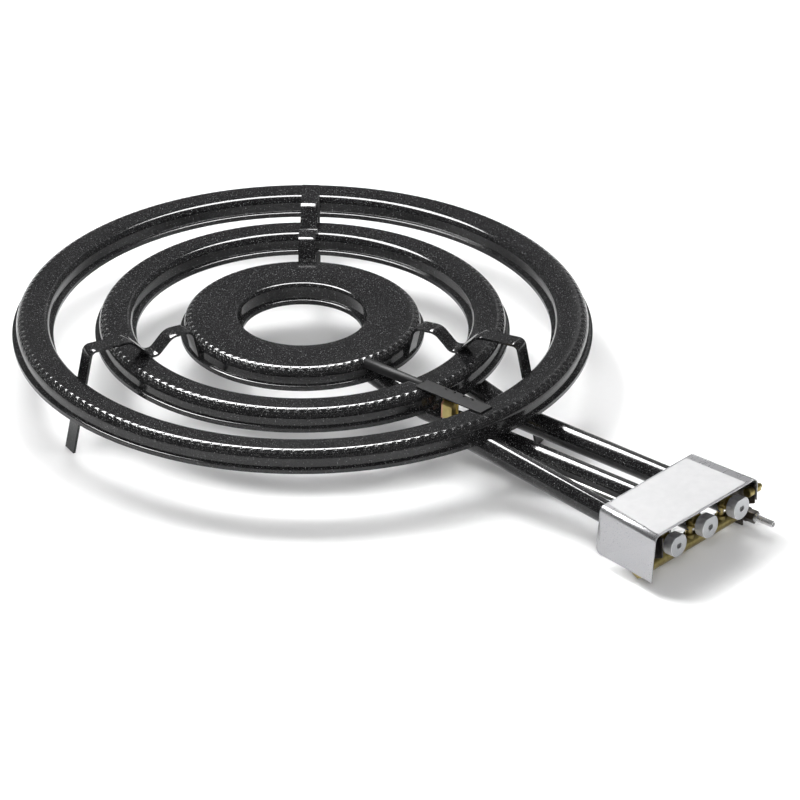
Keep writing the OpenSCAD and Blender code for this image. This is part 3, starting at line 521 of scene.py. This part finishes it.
def add_bead(verts, faces, path):
    """Adds a rippled bead along a line of points, closed to a tip at each end."""
    length = [0.0]
    for a, b in zip(path, path[1:]):
        length.append(length[-1] + (b - a).length)
    count = max(BEAD_STEPS_MIN, int(length[-1] / (BEAD_RIPPLE / RIPPLE_STEPS)))
    rings = []
    for i in range(count + 1):
        at = length[-1] * i / count
        k = max(j for j in range(len(length) - 1) if length[j] <= at + TINY)
        share = (at - length[k]) / (length[k + 1] - length[k])
        spot = path[k].lerp(path[k + 1], share)
        along = (path[k + 1] - path[k]).normalized()
        side = along.orthogonal().normalized()
        other = along.cross(side)
        taper = math.sqrt(max(BEAD_TIP, 1 - (2 * i / count - 1) ** BEAD_TAPER))
        size = BEAD_R * taper * (1 + BEAD_SWELL * math.sin(2 * math.pi * at / BEAD_RIPPLE))
        start = len(verts)
        for j in range(BEAD_SIDES):
            a = 2 * math.pi * j / BEAD_SIDES
            verts.append(spot + (side * math.cos(a) + other * math.sin(a)) * size)
        rings.append(list(range(start, start + BEAD_SIDES)))
    for a, b in zip(rings, rings[1:]):
        faces += between(a, b)
    faces += [tuple(reversed(rings[0])), tuple(rings[-1])]


def add_mesh(name, verts, faces, material):
    mesh = bpy.data.meshes.new(name)
    mesh.from_pydata([tuple(v) for v in verts], [], faces)
    mesh.shade_smooth()
    mesh.set_sharp_from_angle(angle=SMALL_SHARP)
    mesh.materials.append(material)
    obj = bpy.data.objects.new(name, mesh)
    bpy.context.scene.collection.objects.link(obj)
    return obj


def ring_point(bearing, radius, side, height):
    """A point beside a support: side is measured across the bar."""
    radial = Vector((math.cos(bearing), math.sin(bearing), 0))
    across = Vector((-radial.y, radial.x, 0))
    return ring_centre + radial * radius + across * side + Vector((0, 0, height))


def add_welds():
    """Beads on both sides of each support where it meets the three rings."""
    verts, faces = [], []
    for name in ("rear_support", "left_support", "right_support"):
        floor_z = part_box(name)[0].z
        feet = [v.co for v in nodes[name].data.vertices if v.co.z < floor_z + FOOT_SLACK]
        middle = sum(feet, Vector()) / len(feet) - ring_centre
        bearing = math.atan2(middle.y, middle.x)
        for side in (-WELD_SIDE, WELD_SIDE):
            for line in WELD_LINES:
                add_bead(verts, faces, [ring_point(bearing, r * MM, side, z * MM) for r, z in line])
    welds = add_mesh("support_welds", verts, faces, MATERIALS["enamel"])
    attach(welds, "burner")


add_welds()


# Return springs in the taps

SPRING_TURNS = 2
SPRING_STEPS = 48
WIRE_SIDES = 10
WIRE_R = 0.3 * MM


def add_spring(tap):
    """A coil in the place of a tap's spring."""
    low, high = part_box(tap + "_spring")
    middle = (low + high) / 2
    coil_r = (high.x - low.x) / 2 - WIRE_R
    rise = high.y - low.y - 2 * WIRE_R
    count = SPRING_TURNS * SPRING_STEPS
    verts, faces = [], []
    for i in range(count + 1):
        turn = 2 * math.pi * i / SPRING_STEPS
        for k in range(WIRE_SIDES):
            lean = 2 * math.pi * k / WIRE_SIDES
            radius = coil_r + WIRE_R * math.cos(lean)
            y = high.y - WIRE_R - rise * i / count + WIRE_R * math.sin(lean)
            verts.append((middle.x + radius * math.cos(turn), y, middle.z + radius * math.sin(turn)))
    loops = [range(i * WIRE_SIDES, (i + 1) * WIRE_SIDES) for i in range(count + 1)]
    for a, b in zip(loops, loops[1:]):
        faces += between(a, b)
    faces += [tuple(reversed(loops[0])), tuple(loops[-1])]
    coil = add_mesh(tap + "_coil", verts, faces, MATERIALS["line_steel"])
    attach(coil, "burner")
    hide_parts(tap + "_spring")
    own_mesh(coil)


for tap in ("outer", "middle", "inner"):
    add_spring(tap)


# Blank label on the cover

LABEL_REAR = 2.5 * MM
LABEL_FRONT = 3 * MM
LABEL_RIGHT = 19 * MM
LABEL_W_REAR = 144 * MM
LABEL_W_FRONT = 162 * MM
LABEL_ROUND = 2.5 * MM
LABEL_THICK = 0.2 * MM
CORNER_STEPS = 4


def add_label():
    """A bare plate with rounded corners on the cover's roof."""
    low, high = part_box("cover")
    rear, front = high.y - LABEL_REAR, low.y + LABEL_FRONT
    right = high.x - LABEL_RIGHT
    corners = [(right, rear), (right - LABEL_W_REAR, rear), (right - LABEL_W_FRONT, front), (right, front)]
    outline = []
    for i, corner in enumerate(corners):
        here = Vector(corner)
        before = (Vector(corners[i - 1]) - here).normalized()
        after = (Vector(corners[(i + 1) % len(corners)]) - here).normalized()
        for k in range(CORNER_STEPS + 1):
            t = k / CORNER_STEPS
            outline.append(here + before * LABEL_ROUND * (1 - t) ** 2 + after * LABEL_ROUND * t ** 2)
    count = len(outline)
    verts = [(p.x, p.y, high.z + h) for h in (0, LABEL_THICK) for p in outline]
    faces = [tuple(range(count, 2 * count)), tuple(reversed(range(count)))]
    faces += between(range(count), range(count, 2 * count))
    label = add_mesh("label_plate", verts, faces, MATERIALS["label"])
    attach(label, "burner")


add_label()


# Studio

FLOOR_HALF = 30
FLOOR_Z = -0.2 * MM
FLOOR_WHITE = (0.92, 0.92, 0.92, 1)


def add_floor():
    mesh = bpy.data.meshes.new("floor")
    sides = ((-1, -1), (1, -1), (1, 1), (-1, 1))
    mesh.from_pydata([(x * FLOOR_HALF, y * FLOOR_HALF, 0) for x, y in sides], [], [(0, 1, 2, 3)])
    floor = bpy.data.objects.new("floor", mesh)
    floor.location.z = FLOOR_Z
    bpy.context.scene.collection.objects.link(floor)
    shader = Shader("floor", Base_Color=FLOOR_WHITE, Roughness=1.0, Specular_IOR_Level=0)
    mesh.materials.append(shader.material)


def add_area(name, place, aim, size, energy):
    """A panel that only reflections see."""
    data = bpy.data.lights.new(name, "AREA")
    data.shape = "RECTANGLE"
    data.size, data.size_y = size
    data.energy = energy
    light = bpy.data.objects.new(name, data)
    bpy.context.scene.collection.objects.link(light)
    light.location = place
    light.rotation_euler = (aim - place).to_track_quat("-Z", "Y").to_euler()
    light.visible_diffuse = False
    light.visible_camera = False


def view_point(across, away, up):
    """A point measured from the rings' centre: across the picture, away from the camera, and up."""
    return ring_centre + view_right * across + view_away * away + Vector((0, 0, up))


WORLD_STOPS = ((0.0, 0.24), (0.6, 0.25), (1.0, 0.2))
WORLD_BLUE = 1.01


def add_world():
    """Plain grey surroundings, slightly darker overhead."""
    world = bpy.data.worlds.new("world")
    world.use_nodes = True
    bpy.context.scene.world = world
    tree = world.node_tree
    coords = tree.nodes.new("ShaderNodeTexCoord")
    split = tree.nodes.new("ShaderNodeSeparateXYZ")
    shade = tree.nodes.new("ShaderNodeValToRGB")
    tree.links.new(coords.outputs["Generated"], split.inputs["Vector"])
    tree.links.new(split.outputs["Z"], shade.inputs["Fac"])
    tree.links.new(shade.outputs["Color"], tree.nodes["Background"].inputs["Color"])
    points = shade.color_ramp.elements
    points.new(0.5)
    for point, (where, level) in zip(points, WORLD_STOPS):
        point.position = where
        point.color = (level, level, level * WORLD_BLUE, 1)


# Lamps as (across, away, strength), suns as (heading in degrees, strength)
KEYS = ((-1.2, 0.08, 3.2), (-0.45, -0.12, 8.0), (-0.15, -0.12, 11.5), (-0.15, 0.08, 8.3),
        (0.15, -0.12, 5.3), (0.45, -0.02, 2.2))
KEY_UP = 0.9
KEY_R = 0.14
SUNS = ((90, 1.6), (270, 1.55), (315, 1.1))
SUN_TILT = math.radians(55)
SUN_SPREAD = math.radians(30)


def add_lamp(name, kind):
    """A lamp that neither the camera nor reflections see."""
    data = bpy.data.lights.new(name, kind)
    lamp = bpy.data.objects.new(name, data)
    bpy.context.scene.collection.objects.link(lamp)
    lamp.visible_camera = False
    lamp.visible_glossy = False
    return lamp


def add_lights():
    """A strip of soft lamps close above the rings, low suns as fill, and two panels for reflections."""
    for number, (across, away, strength) in enumerate(KEYS):
        lamp = add_lamp(f"key_{number}", "POINT")
        lamp.location = view_point(across, away, KEY_UP)
        lamp.data.energy = 1
        lamp.data.shadow_soft_size = KEY_R
        lamp.data.use_nodes = True
        tree = lamp.data.node_tree
        even = tree.nodes.new("ShaderNodeLightFalloff")
        even.inputs["Strength"].default_value = strength
        tree.links.new(even.outputs["Constant"], tree.nodes["Emission"].inputs["Strength"])
    for heading, strength in SUNS:
        sun = add_lamp(f"sun_{heading}", "SUN")
        sun.data.energy = strength
        sun.data.angle = SUN_SPREAD
        turn = math.radians(heading)
        level = view_right * math.cos(turn) + view_away * math.sin(turn)
        aim = level * math.sin(SUN_TILT) - Vector((0, 0, math.cos(SUN_TILT)))
        sun.rotation_euler = aim.to_track_quat("-Z", "Y").to_euler()
    add_area("overhead", place=view_point(-0.18, 0.32, KEY_UP), aim=view_point(-0.1, -0.1, 0),
             size=(0.9, 0.42), energy=44)
    add_area("card", place=view_point(0.62, 2.0, 1.2), aim=view_point(0.5, -0.35, 0),
             size=(0.45, 1.3), energy=1.1)


add_floor()
add_world()
add_lights()
view_settings = bpy.context.scene.view_settings
view_settings.view_transform = "Standard"
view_settings.look = "None"
